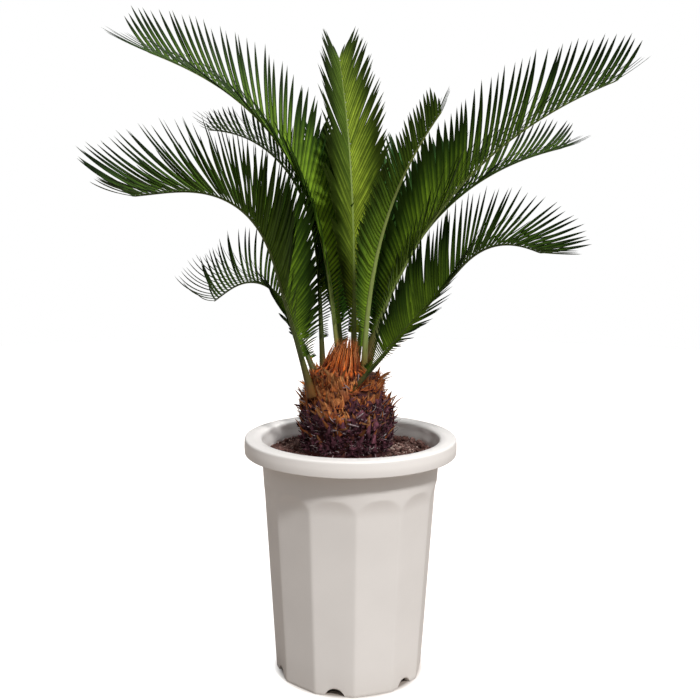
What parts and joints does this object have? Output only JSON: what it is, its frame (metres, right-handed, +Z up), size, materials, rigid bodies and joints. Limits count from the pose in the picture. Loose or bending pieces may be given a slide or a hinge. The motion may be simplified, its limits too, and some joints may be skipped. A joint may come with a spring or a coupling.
{
  "type": "potted sago palm",
  "caption": "Young sago palm with a scaly trunk, a furry crown and arching feather fronds, growing in a tall tapered plastic pot with flat sides and a broad rim.",
  "frame": {"origin": "centre of the pot's foot, on the surface that the pot stands on", "axes": "+Z up along the pot, -Y towards the front of the plant as pictured, +X to its right"},
  "size_m": [0.5972, 0.353, 0.776],
  "materials": {
    "pot": "satin white plastic",
    "soil": "loose dark potting mix",
    "trunk": "rough brown leaf bases",
    "tuft": "furry orange-brown young leaf bases",
    "frond": "glossy dark green leaflets, olive midrib",
    "young_frond": "lighter yellow-green leaflets"
  },
  "bodies": {
    "root": {"pot": "pot", "soil": "soil", "trunk": "trunk", "crown_tuft": "tuft", "frond_upper_left": "frond", "frond_left": "frond", "frond_back_left": "frond", "frond_low_left": "frond", "frond_centre": "young_frond", "frond_right_centre": "frond", "frond_upper_right": "frond", "frond_right": "frond", "frond_low_right": "frond", "frond_back_1": "frond", "frond_back_2": "frond", "frond_back_3": "frond"}
  },
  "joints": []
}
